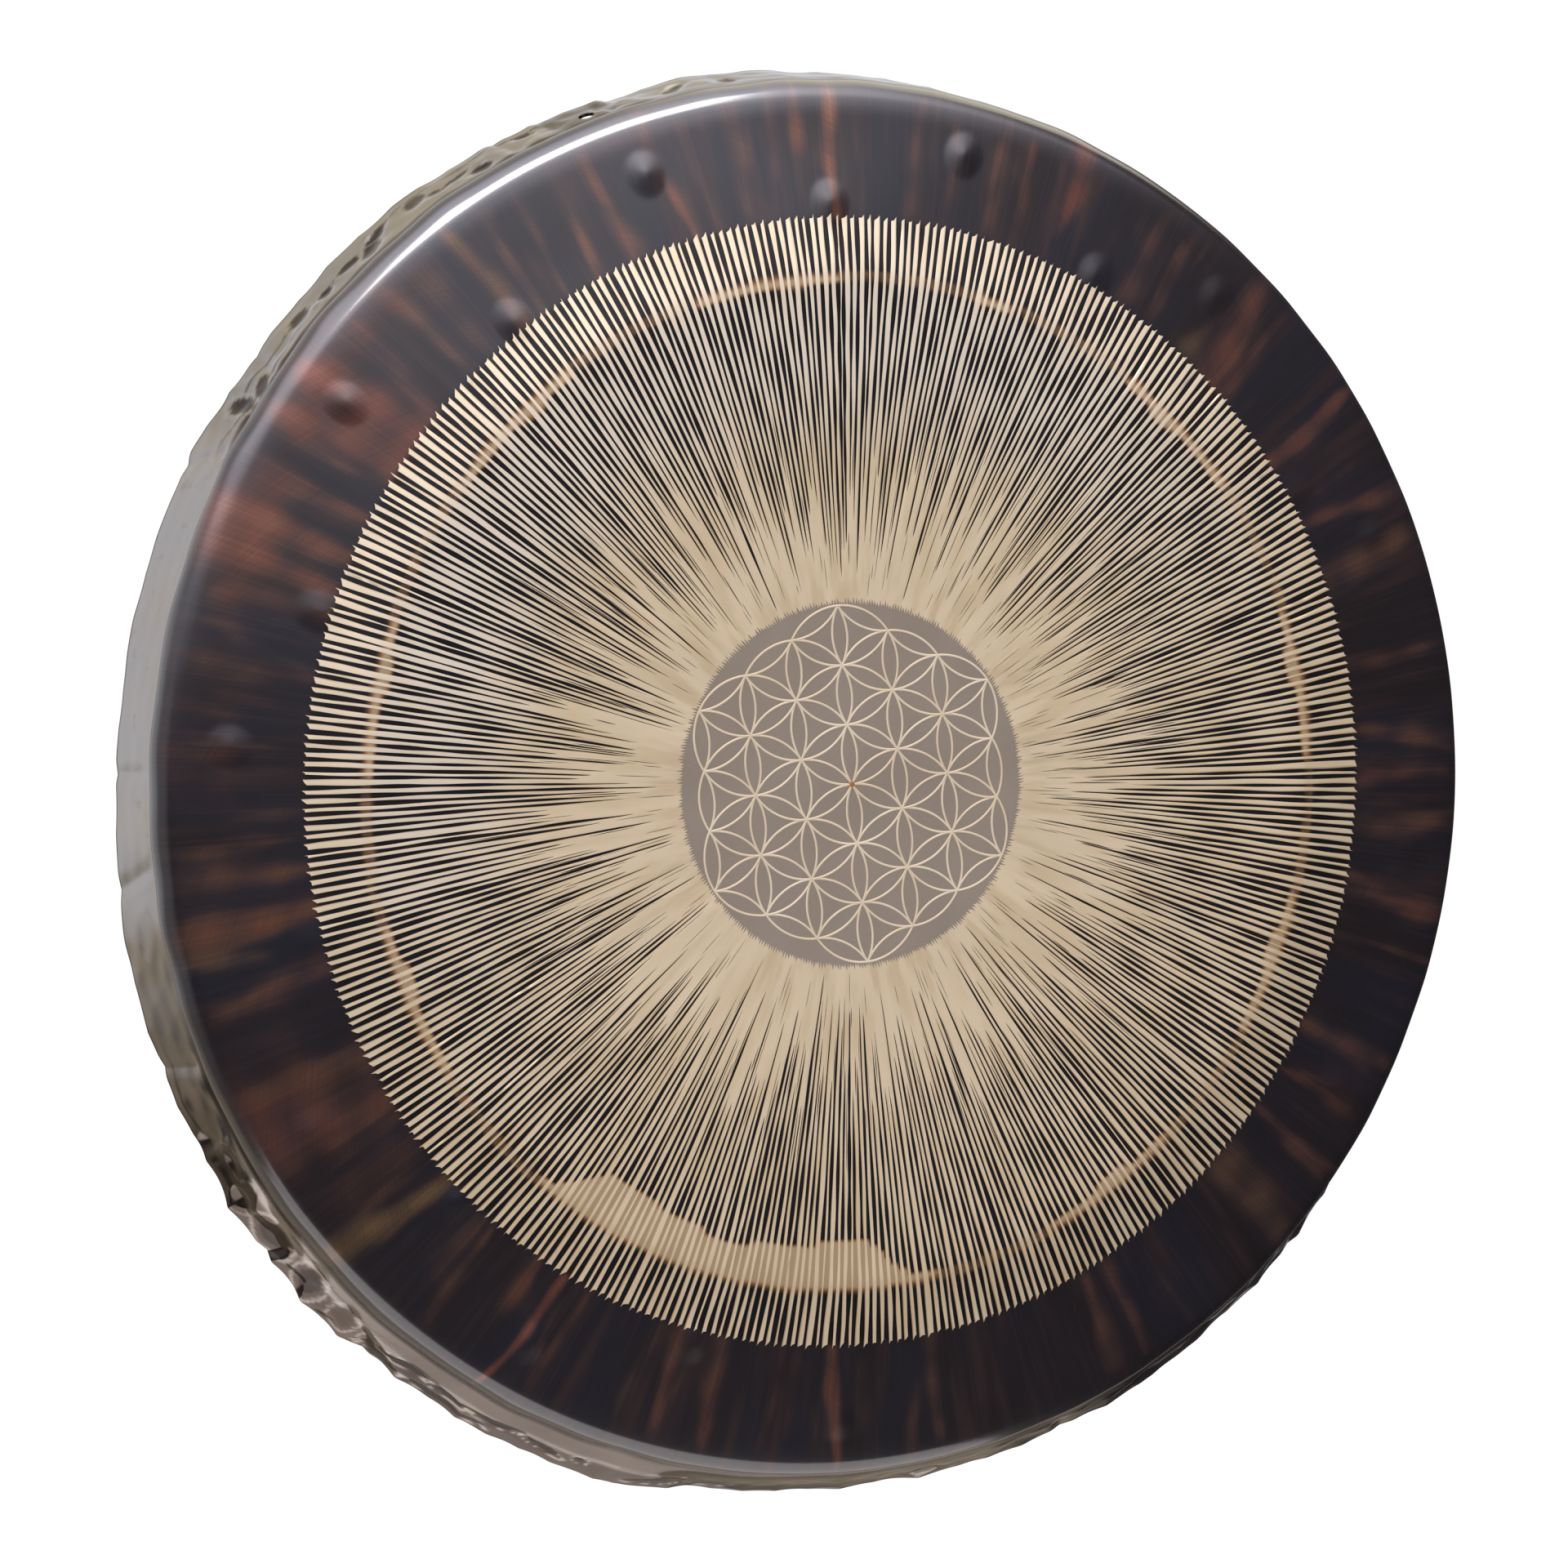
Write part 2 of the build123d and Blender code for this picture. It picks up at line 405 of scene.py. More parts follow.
def make_object(name, points, patches, attributes=None, sharp=40):
    """Make an object from points and patches: arrays of faces, each with its material."""
    mesh = bpy.data.meshes.new(name)
    corners = np.concatenate([faces.ravel() for faces, _ in patches])
    sizes = np.concatenate([np.full(len(faces), faces.shape[1]) for faces, _ in patches])
    used, corners = np.unique(corners, return_inverse=True)
    mesh.vertices.add(len(used))
    mesh.vertices.foreach_set("co", points[used].astype(np.float32).ravel())
    mesh.loops.add(len(corners))
    mesh.loops.foreach_set("vertex_index", corners.astype(np.int32).ravel())
    mesh.polygons.add(len(sizes))
    starts = np.concatenate([[0], np.cumsum(sizes)[:-1]])
    mesh.polygons.foreach_set("loop_start", starts.astype(np.int32))
    materials = []
    indices = []
    for faces, material in patches:
        if material not in materials:
            materials.append(material)
        indices.append(np.full(len(faces), materials.index(material)))
    for material in materials:
        mesh.materials.append(material)
    mesh.polygons.foreach_set("material_index", np.concatenate(indices).astype(np.int32))
    mesh.update(calc_edges=True)
    mesh.polygons.foreach_set("use_smooth", np.ones(len(sizes), bool))
    mesh.set_sharp_from_angle(angle=radians(sharp))
    for key, values in (attributes or {}).items():
        layer = mesh.attributes.new(key, "FLOAT", "POINT")
        layer.data.foreach_set("value", values[used].astype(np.float32).ravel())
    piece = bpy.data.objects.new(name, mesh)
    bpy.context.scene.collection.objects.link(piece)
    return piece


def finish_piece(piece, slot, *nodes):
    """The piece stands for its CAD nodes, in the one rigid body. slot is not used."""
    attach(piece, "root")
    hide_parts(*nodes)


def grid_faces(index, wrap=True):
    """Quads that face outwards, over a grid of vertex numbers: columns clockwise, rows outwards."""
    after = np.roll(index, -1, axis=0) if wrap else index[1:]
    here = index if wrap else index[:-1]
    quads = np.stack([here[:, :-1], after[:, :-1], after[:, 1:], here[:, 1:]], -1)
    return quads.reshape(-1, 4)


def band_faces(first, second):
    """Quads between two closed loops of vertex numbers."""
    return np.stack([first, np.roll(first, -1), np.roll(second, -1), second], -1)


def fan_faces(loop, middle):
    """Triangles from a closed loop to one vertex."""
    return np.stack([loop, np.full_like(loop, middle), np.roll(loop, -1)], -1)


def ring_angles(columns=COLUMNS):
    """Angles of the mesh columns."""
    return np.arange(columns) * TURN / columns


def sheet_ring(name, rows, front, back, masks, skip):
    """A closed ring of sheet. The back has one row for every few of the front."""
    angle = ring_angles()
    picked = np.arange(0, len(rows.radius), skip)
    back_rows = Rows(*(values[picked] for values in rows))
    outer = sheet_points(angle, rows, 0)
    inner = sheet_points(angle, back_rows, SHEET)
    f = np.arange(outer.size // 3).reshape(outer.shape[:2])
    b = f.size + np.arange(inner.size // 3).reshape(inner.shape[:2])
    patches = [
        (grid_faces(f), front),
        (grid_faces(b)[:, ::-1], back),
        (band_faces(f[:, -1], b[:, -1]), back),
        (band_faces(b[:, 0], f[:, 0]), back),
    ]
    attributes = {key: np.concatenate([mask.ravel(), np.zeros(b.size)]) for key, mask in masks.items()}
    return make_object(name, points_of(outer, inner), patches, attributes)


def disc(name, radii, lift, inset, front, back, columns=360):
    """A closed disc that lies lift in front of the face, and reaches inset behind it."""
    angle = ring_angles(columns)[:, None]
    top = face_points(angle, radii[None, :], lift)
    bottom = face_points(angle, radii[None, :], -inset)
    ends = np.concatenate([face_points(0.0, 0.0, lift)[None], face_points(0.0, 0.0, -inset)[None]])
    f = np.arange(top.size // 3).reshape(top.shape[:2])
    b = f + f.size
    middle = 2 * f.size
    patches = [
        (grid_faces(f), front),
        (fan_faces(f[:, 0], middle), front),
        (band_faces(f[:, -1], b[:, -1]), front),
        (grid_faces(b)[:, ::-1], back),
        (fan_faces(b[:, 0], middle + 1)[:, ::-1], back),
    ]
    return make_object(name, points_of(top, bottom, ends), patches)


# ---- shading


class Nodes:
    """Builds the node tree of a material or a world. Inputs are plain values or other nodes' sockets."""

    def __init__(self, owner, coordinates="Object"):
        owner.use_nodes = True
        self.owner = owner
        self.tree = owner.node_tree
        self.tree.nodes.clear()
        self.place = self.add("TexCoord").outputs[coordinates]

    def add(self, kind, inputs=None, **settings):
        """Add one node."""
        made = self.tree.nodes.new("ShaderNode" + kind)
        for key, value in settings.items():
            setattr(made, key, value)
        for key, value in (inputs or {}).items():
            if isinstance(value, bpy.types.NodeSocket):
                self.tree.links.new(value, made.inputs[key])
            else:
                made.inputs[key].default_value = value
        return made

    def scaled(self, value, by, plus=0.0):
        """value times by, plus another."""
        return self.add("Math", {0: value, 1: by, 2: plus}, operation="MULTIPLY_ADD").outputs[0]

    def absolute(self, value):
        """The value without its sign."""
        return self.add("Math", {0: value}, operation="ABSOLUTE").outputs[0]

    def vectors(self, operation, first, second=(0, 0, 0), output=0):
        """Result of one Vector Math node."""
        return self.add("VectorMath", {0: first, 1: second}, operation=operation).outputs[output]

    def ramp(self, value, low, high, start=0.0, end=1.0):
        """An S-curve from start to end while value goes from low to high."""
        inputs = {0: value, 1: low, 2: high, 3: start, 4: end}
        return self.add("MapRange", inputs, interpolation_type="SMOOTHSTEP").outputs[0]

    def blend(self, share, first, second):
        """Colour between first and second."""
        first, second = [c if isinstance(c, bpy.types.NodeSocket) else (*c, 1) for c in (first, second)]
        return self.add("Mix", {0: share, 6: first, 7: second}, data_type="RGBA").outputs[2]

    def attribute(self, name):
        """A number that the mesh carries."""
        return self.add("Attribute", attribute_name=name).outputs["Fac"]

    def noise(self, scale, detail, vector=None):
        """Soft noise from 0 to 1, about 0.5 on average."""
        vector = self.place if vector is None else vector
        return self.add("TexNoise", {"Vector": vector, "Scale": scale, "Detail": detail}).outputs[0]

    def from_axis(self, slant=0.0):
        """Distance from the gong's axis, and the unit vector away from it.

        The vector lies in the plane of the face, and is turned by slant radians per metre.
        """
        centred = self.vectors("ADD", self.place, (0, 0, -AXIS_Z))
        split = self.add("SeparateXYZ", {0: centred}).outputs
        flat = self.add("CombineXYZ", {0: split[0], 2: split[2]}).outputs[0]
        radius = self.vectors("LENGTH", flat, output="Value")
        away = self.vectors("NORMALIZE", flat)
        if slant:
            inputs = {"Vector": away, "Angle": self.scaled(radius, slant), "Axis": (0, 1, 0)}
            away = self.add("VectorRotate", inputs, rotation_type="AXIS_ANGLE").outputs[0]
        return radius, away

    def grain(self, radius, away, around, outward, detail=2.0):
        """Noise with around cells per radian round the axis, and outward cells per metre along it."""
        spread = self.add("VectorMath", {0: away, "Scale": around}, operation="SCALE").outputs[0]
        run = self.add("CombineXYZ", {1: self.scaled(radius, outward)}).outputs[0]
        return self.noise(1.0, detail, self.vectors("ADD", spread, run))

    def bump(self, height, distance):
        """Normal from a height, which is distance metres tall at 1."""
        return self.add("Bump", {"Height": height, "Distance": distance, "Strength": 1.0}).outputs[0]

    def surface(self, **inputs):
        """End in a Principled shader, and give the finished material."""
        shader = self.add("BsdfPrincipled", {key.replace("_", " "): value for key, value in inputs.items()})
        self.add("OutputMaterial", {"Surface": shader.outputs[0]})
        return self.owner


def new_material(name):
    """The empty node tree of a new material."""
    return Nodes(bpy.data.materials.new(name))


def dark_patina():
    """Near-black patina under clear lacquer, with copper streaks and slanted brushing."""
    made = new_material("dark_patina")
    radius, away = made.from_axis()
    broad = made.grain(radius, away, 8, 5)
    bands = made.grain(radius, away, 34, 9)
    fine = made.grain(radius, away, 230, 9, 3.0)
    brush = made.grain(*made.from_axis(slant=4.5), 560, 45)
    wear_and_reflection = made.attribute("wear_and_reflection")
    base = made.blend(made.ramp(broad, 0.35, 0.65), (0.0110, 0.0073, 0.0082), (0.0105, 0.0100, 0.0165))
    base = made.blend(made.ramp(bands, 0.48, 0.72), base, (0.025, 0.0145, 0.0145))
    base = made.blend(made.ramp(fine, 0.5, 0.75, 0, 0.5), base, (0.030, 0.020, 0.021))
    warm = made.blend(made.attribute("tone"), (0.335, 0.112, 0.078), (0.27, 0.165, 0.085))
    streaky = made.scaled(made.attribute("copper"), made.ramp(fine, 0.3, 0.68, 0.88, 1.06))
    hatched = made.scaled(streaky, made.ramp(brush, 0.35, 0.65, 0.84, 1.08))
    share = made.ramp(hatched, 0.03, 1.15, 0, 0.85)
    colour = made.blend(share, base, warm)
    in_gaps = made.ramp(radius, RAYS + 3 * MM, RAYS - 3 * MM)
    colour = made.blend(made.scaled(in_gaps, 0.85), colour, (0.004, 0.0035, 0.004))
    # Painted paler by the mesh's mask: worn through on the ridge and partly a painted highlight there, and
    # a painted reflection in the patch at the lower left.
    bare = made.ramp(made.scaled(bands, 0.5, wear_and_reflection), 0.35, 1.1)
    wear_and_reflection_colour = made.blend(made.ramp(wear_and_reflection, 0.5, 0.9), (0.42, 0.22, 0.10), (0.41, 0.30, 0.17))
    height = made.scaled(brush, 0.6, made.scaled(fine, 0.4))
    return made.surface(
        Base_Color=made.blend(bare, colour, wear_and_reflection_colour),
        Metallic=made.ramp(share, 0, 0.6, 0.2, 0.7),
        Roughness=made.scaled(brush, 0.2, 0.28),
        Normal=made.bump(height, 0.03 * MM),
        Coat_Weight=made.scaled(in_gaps, -0.8, 1.0),
        Coat_Roughness=0.15,
        Coat_IOR=1.85,
    )


def scraped_bronze():
    """Bare bronze, scraped matt along the rays, browner at the strips' clockwise edges, and painted paler
    towards the upper left as a painted highlight.
    """
    made = new_material("scraped_bronze")
    radius, away = made.from_axis()
    grain = made.grain(radius, away, 900, 90)
    cloud = made.grain(radius, away, 14, 22)
    grit = made.noise(1500.0, 2.0)
    colour = made.blend(made.ramp(cloud, 0.35, 0.7), (0.87, 0.725, 0.495), (0.81, 0.655, 0.415))
    stained = made.scaled(made.ramp(radius, 0.165, 0.118), made.ramp(cloud, 0.45, 0.65, 0, 0.22))
    colour = made.blend(stained, colour, (0.56, 0.40, 0.24))
    colour = made.blend(made.ramp(grain, 0.55, 0.8, 0, 0.3), colour, (0.90, 0.80, 0.62))
    from_ridge = made.absolute(made.scaled(radius, 1.0, -RIDGE))
    colour = made.blend(made.ramp(from_ridge, 0.006, 0.001, 0, 0.2), colour, (0.66, 0.46, 0.24))
    colour = made.blend(made.ramp(made.attribute("side"), 0.45, 1.0, 0, 0.7), colour, (0.42, 0.25, 0.11))
    # Painted highlight: the rays are painted paler towards the upper left, where the light falls.
    upper = made.vectors("DOT_PRODUCT", away, (-0.45, 0, 0.89), "Value")
    painted_upper_left_highlight = made.scaled(made.ramp(upper, -0.35, 0.75), made.ramp(radius, 0.19, 0.28))
    painted_upper_left_highlight = made.scaled(painted_upper_left_highlight, made.ramp(radius, 0.335, 0.300, 0.35, 0.75))
    return made.surface(
        Base_Color=made.blend(painted_upper_left_highlight, colour, (0.95, 0.85, 0.71)),
        Metallic=0.55,
        Roughness=made.scaled(grit, 0.2, 0.42),
        Normal=made.bump(made.scaled(grain, 0.7, made.scaled(grit, 0.3)), 0.04 * MM),
        Coat_Weight=0.6,
        Coat_Roughness=0.25,
        Coat_IOR=1.5,
    )


def grey_painted_reflection():
    """The medallion's matt grey: a painted reflection, for the grey that its dark lacquer mirrors."""
    made = new_material("grey_painted_reflection")
    cloud = made.noise(22.0, 3.0)
    grit = made.noise(1400.0, 2.0)
    colour = made.blend(made.ramp(cloud, 0.3, 0.7), (0.250, 0.210, 0.165), (0.232, 0.193, 0.150))
    return made.surface(
        Base_Color=made.blend(made.ramp(grit, 0.68, 0.78), colour, (0.42, 0.39, 0.36)),
        Roughness=made.scaled(grit, 0.2, 0.5),
        Normal=made.bump(grit, 0.02 * MM),
    )


def engraved_line():
    """Bare bright bronze of the flower's lines, with a thin brown outline."""
    made = new_material("engraved_line")
    cloud = made.noise(30.0, 3.0)
    grit = made.noise(1200.0, 2.0)
    side = made.absolute(made.attribute("side"))
    pale = made.blend(made.ramp(cloud, 0.3, 0.7), (0.84, 0.74, 0.56), (0.76, 0.64, 0.45))
    return made.surface(
        Base_Color=made.blend(made.ramp(side, 0.6, 1.0, 0, 0.8), pale, (0.40, 0.26, 0.13)),
        Metallic=0.4,
        Roughness=made.scaled(grit, 0.2, 0.4),
        Normal=made.bump(grit, 0.03 * MM),
    )


def centre_brown():
    """The brown mark in the middle of the flower."""
    made = new_material("centre_brown")
    grit = made.noise(900.0, 3.0)
    return made.surface(
        Base_Color=made.blend(grit, (0.30, 0.13, 0.035), (0.42, 0.22, 0.08)),
        Metallic=0.3,
        Roughness=0.45,
        Normal=made.bump(grit, 0.05 * MM),
    )


def hammered_bronze():
    """The rim: glossy hammered bronze, grey to olive, darker where the mesh says so: scale, painted shade
    along the crease and painted dark reflections in the dents.
    """
    made = new_material("hammered_bronze")
    cloud = made.noise(16.0, 4.0)
    scale = made.noise(90.0, 5.0)
    grit = made.noise(700.0, 3.0)
    scratch = made.grain(*made.from_axis(), 30, 900)
    colour = made.blend(made.ramp(cloud, 0.35, 0.65), (0.47, 0.43, 0.37), (0.46, 0.44, 0.425))
    colour = made.blend(made.ramp(scale, 0.6, 0.75, 0, 0.25), colour, (0.24, 0.17, 0.12))
    # The mesh's dark mask holds scale, painted shade along the crease and painted dark reflections in the
    # dents.
    ragged = made.scaled(cloud, 0.3, made.scaled(made.attribute("dark"), 1.0, -0.15))
    colour = made.blend(made.ramp(ragged, 0.05, 0.75), colour, (0.120, 0.092, 0.072))
    height = made.scaled(scratch, 0.25, made.scaled(scale, 0.75))
    return made.surface(
        Base_Color=made.blend(made.ramp(ragged, 0.6, 0.95), colour, (0.035, 0.026, 0.022)),
        Metallic=1.0,
        Roughness=made.scaled(grit, 0.12, 0.09),
        Normal=made.bump(height, 0.04 * MM),
        Coat_Weight=0.5,
        Coat_Roughness=0.05,
    )


def back_bronze():
    """The back of the sheet: dark brown hammered bronze with uneven scale."""
    made = new_material("back_bronze")
    cloud = made.noise(9.0, 5.0)
    scale = made.noise(130.0, 5.0)
    rings = made.grain(*made.from_axis(), 12, 220)
    blows = made.add("TexVoronoi", {"Vector": made.place, "Scale": 55.0}, feature="SMOOTH_F1").outputs[0]
    colour = made.blend(made.ramp(cloud, 0.3, 0.7), (0.085, 0.05, 0.03), (0.20, 0.125, 0.065))
    colour = made.blend(made.ramp(rings, 0.5, 0.75, 0, 0.35), colour, (0.33, 0.21, 0.11))
    return made.surface(
        Base_Color=made.blend(made.ramp(scale, 0.5, 0.7, 0, 0.6), colour, (0.03, 0.02, 0.018)),
        Metallic=0.8,
        Roughness=made.ramp(scale, 0.35, 0.7, 0.3, 0.55),
        Normal=made.bump(made.scaled(scale, 0.12, blows), 0.5 * MM),
    )


# ---- the sheet's zones

STREAK_ENDS = (350, 430)  # radii in mm between which a streak shows, where the list gives none
# Copper streaks of the patina: degrees, half width in degrees, strength, tone (0 red to 1 olive),
# and the radii in mm between which they show
STREAKS = [
    (-179, 0.5, 0.7, 0.3, 352, 440), (-173, 0.5, 0.3, 0.3, 352, 425), (-166.7, 0.8, 0.35, 0.5),
    (-162.3, 0.7, 0.35, 0.4), (-151.3, 0.6, 0.3, 0.3), (-148, 0.35, 0.95, 0.15, 350, 446),
    (-145.3, 0.7, 0.5, 0.3, 345, 395), (-139.7, 0.6, 0.4, 0.5), (-131.7, 0.8, 1.05, 1.1, 340, 442),
    (-128, 2.2, 0.2, 0.3), (-121.3, 2.4, 0.42, 0.3, 345, 440), (-117, 1.2, 0.45, 0.6, 350, 436),
    (-108, 1.2, 0.25, 0.4), (-105, 0.8, 0.45, 1.0, 390, 436), (-102.3, 1.1, 0.8, 0.45, 345, 442),
    (-98, 1.3, 0.4, 0.5, 350, 436), (-80, 1.0, 0.25, 0.3), (-73.7, 1.0, 0.35, 0.3),
    (-70.7, 1.1, 0.7, 0.3, 350, 440), (-67.6, 1.2, 0.8, 0.4, 345, 442), (-63.7, 0.8, 0.4, 0.3),
    (-58, 1.6, 0.6, 0.25, 345, 440), (-54.2, 1.7, 0.75, 0.1, 350, 442), (-50, 0.8, 0.3, 0.3, 360, 430),
    (-45.7, 0.8, 0.4, 0.5, 352, 436), (-42.7, 1.2, 0.35, 0.6), (-38.3, 0.9, 0.5, 0.9, 352, 436),
    (-35.7, 0.6, 0.3, 0.5, 352, 430), (-32.7, 0.5, 0.35, 0.4, 352, 425), (-29, 0.6, 0.6, 0.45, 345, 392),
    (-25.3, 0.7, 0.55, 0.4, 350, 428), (-19, 0.45, 0.75, 0.2, 350, 395), (-12, 0.8, 0.35, 0.6, 355, 436),
    (-9, 0.6, 0.3, 0.3, 355, 440), (-6.1, 0.6, 0.5, 0.1, 395, 440), (-3.2, 0.55, 0.9, 0.35, 330, 440),
    (5, 0.7, 0.35, 0.3, 352, 438), (8.7, 0.6, 0.3, 0.3, 352, 430), (13.3, 0.7, 0.35, 0.4, 352, 436),
    (16.3, 0.6, 0.3, 0.3, 352, 430), (21, 0.9, 0.7, 0.1, 380, 440), (30, 1.0, 0.35, 0.4, 352, 430),
    (33.3, 0.7, 0.3, 0.4, 352, 430), (39, 1.2, 0.5, 1.0, 356, 380), (41.7, 1.2, 0.5, 0.15, 352, 438),
    (44.7, 0.7, 0.3, 0.3, 352, 430), (53.7, 0.8, 0.7, 0.3, 350, 438), (62.3, 0.8, 0.5, 0.3, 350, 438),
    (67.3, 1.4, 0.4, 0.5, 350, 436), (77.3, 0.8, 0.3, 0.4), (84.7, 0.8, 0.3, 0.4), (89, 0.8, 0.4, 0.3),
    (94, 0.9, 0.3, 0.4), (101.3, 0.9, 0.3, 0.4), (115.7, 1.0, 0.35, 0.5, 350, 436), (121.3, 0.8, 0.3, 0.4),
    (126.7, 0.8, 0.3, 0.4), (133, 2.0, 0.45, 0.8, 350, 436), (149.7, 0.8, 0.3, 0.4), (153, 0.7, 0.3, 0.4),
    (170.7, 0.8, 0.35, 0.5), (-69, 5.0, 0.35, 0.1, 402, 455), (-51, 6.0, 0.25, 0.1, 408, 455),
    (-88, 4.0, 0.2, 0.1, 395, 450), (-22, 6.0, 0.2, 0.1, 412, 455), (-116, 5.0, 0.2, 0.1, 380, 450),
]
STREAK_STRENGTH = 1.05  # share of the listed strengths
FAINT_STREAKS = 220


def faint_streaks():
    """The many weak streaks between the strong ones."""
    own = np.random.default_rng(42)
    made = []
    for _ in range(FAINT_STREAKS):
        start = own.uniform(335, 400)
        end = start + own.uniform(25, 80)
        degrees, half, strong = own.uniform(-180, 180), own.uniform(0.25, 0.8), own.uniform(0.03, 0.22)
        made.append((degrees, half, strong, own.random(), start, end))
    return made


def streak_masks(angle, radius):
    """How much copper shows through the patina, and its tone, at every point."""
    own = np.random.default_rng(43)
    copper = np.zeros(np.broadcast(angle, radius).shape)
    tone = np.zeros_like(copper)
    for degrees, half, strong, hue, *ends in STREAKS + faint_streaks():
        start, end = ends or STREAK_ENDS
        phase = own.uniform(0, TURN)
        lean = radians(own.uniform(-0.8, 0.8)) * (radius - 0.39) / 0.04
        wander = radians(0.2) * np.sin(radius * 75 + phase)
        along = (radius - start * MM) / ((end - start) * MM)
        taper = np.clip(0.8 + 0.5 * np.sign(np.sin(phase)) * (along - 0.5), 0.4, 1.3)
        across = (turned_by(angle, degrees) - lean - wander) / (radians(half) * taper)
        shown = smooth(radius, (start - 14) * MM, (start + 10) * MM)
        shown = shown * smooth(radius, (end + 8) * MM, (end - 14) * MM)
        patchy = 0.8 + 0.2 * np.sin(radius * 180 + 2 * phase)
        added = STREAK_STRENGTH * strong * np.exp(-0.5 * across**2) * shown * patchy
        tone = tone + added * hue
        copper = copper + added
    return {"copper": np.minimum(copper, 1.2), "tone": tone / np.maximum(copper, 1e-4)}


# A patch inside the ridge at the lower left is painted pale bronze: a painted reflection.
PAINTED_REFLECTION_PATCH = -164.5  # degrees
PAINTED_REFLECTION_INSIDE = 290.5  # mm
RIDGE_WEAR_AND_HIGHLIGHT = 0.34  # how far the ridge is painted paler: worn through, and partly a painted highlight


def ridge_wear_and_painted_reflection(angle, radius):
    """Where the patina is painted paler: the ridge, worn through and partly a painted highlight, and one
    patch inside it at the lower left, a painted reflection.
    """
    wander = 1.5 * MM * sum_waves(CREASE_WAVES, angle, 0)
    away = np.abs(radius - RIDGE - wander)
    ridge = RIDGE_WEAR_AND_HIGHLIGHT * smooth(away, 6 * MM, 1.5 * MM)
    lower = turned_by(angle, PAINTED_REFLECTION_PATCH)
    taper = 24 * smooth(np.abs(lower), radians(16.5), radians(24.5))
    shore = (PAINTED_REFLECTION_INSIDE + taper + 4 * np.cos(10.6 * lower) + 0.8 * np.sin(31 * lower + 1)) * MM
    patch = smooth(radius, shore - 0.8 * MM, shore + 0.8 * MM) * smooth(radius, 322 * MM, 314 * MM)
    return np.maximum(ridge, patch)


def masks_for(rows):
    """All the masks of the patina, over one zone's rows."""
    angle = ring_angles()[:, None]
    masks = streak_masks(angle, rows.radius)
    masks["wear_and_reflection"] = ridge_wear_and_painted_reflection(angle, rows.radius)
    return masks


def make_zones(patina, bronze, back):
    """The medallion's sheet, the ray band, the dark ring and the shoulder."""
    medallion = disc("medallion_sheet", np.linspace(FAN_RADIUS, MEDALLION, 24), 0, SHEET, bronze, back, 720)
    finish_piece(medallion, "grey_lacquer", "centre_medallion")
    # Zone, finish, start and end along the section, rows in front, and rows in front for one behind
    zones = [
        ("ray_band", "scraped_bronze", along_at(MEDALLION), along_at(RAYS), 57, 8),
        ("patina_ring", "dark_patina", along_at(RAYS), along_at(BEND), 41, 8),
        ("shoulder", "dark_patina", along_at(BEND), LINE[-1], 29, 4),
    ]
    for zone, slot, start, end, count, skip in zones:
        rows = face_rows(start, end, count)
        sheet = sheet_ring(f"{zone}_sheet", rows, patina, back, masks_for(rows), skip)
        finish_piece(sheet, slot, zone)


# ---- the rim

RIM_ROWS = 25
HOLE_COLUMNS = 3  # half the block of mesh columns that makes room for a hole
HOLE_ROWS = 4


def open_hole(angle, t, side):
    """Bend the rim's grid round one hole. Gives the block of grid cells that the hole takes."""
    column = round(side * HOLE_ANGLE / (TURN / COLUMNS)) % COLUMNS
    row = round(HOLE_ALONG * (RIM_ROWS - 1))
    for i in range(-2 * HOLE_COLUMNS, 2 * HOLE_COLUMNS + 1):
        for j in range(max(1 - row, -2 * HOLE_ROWS), 2 * HOLE_ROWS + 1):
            reach = max(abs(i) / HOLE_COLUMNS, abs(j) / HOLE_ROWS)
            if reach < 1:
                continue
            here = ((column + i) % COLUMNS, row + j)
            turn = atan2(j / HOLE_ROWS, i / HOLE_COLUMNS)
            own_across = turned_by(angle[here], np.degrees(side * HOLE_ANGLE)) * SHOULDER
            own_down = (t[here] - HOLE_ALONG) * RIM_WIDTH
            free = smooth(reach, 1.0, 1.7)
            across = (1 - free) * HOLE_RADIUS * reach * cos(turn) + free * own_across
            down = (1 - free) * HOLE_RADIUS * reach * sin(turn) + free * own_down
            angle[here] = side * HOLE_ANGLE + across / SHOULDER
            t[here] = HOLE_ALONG + down / RIM_WIDTH
    return column, row


def hole_loop(index, column, row):
    """Vertex numbers round a hole's block, in order."""
    wide, tall = HOLE_COLUMNS, HOLE_ROWS
    path = [(i, -tall) for i in range(-wide, wide)]
    path += [(wide, j) for j in range(-tall, tall)]
    path += [(i, tall) for i in range(wide, -wide, -1)]
    path += [(-wide, j) for j in range(tall, -tall, -1)]
    return np.array([index[(column + i) % COLUMNS, row + j] for i, j in path])


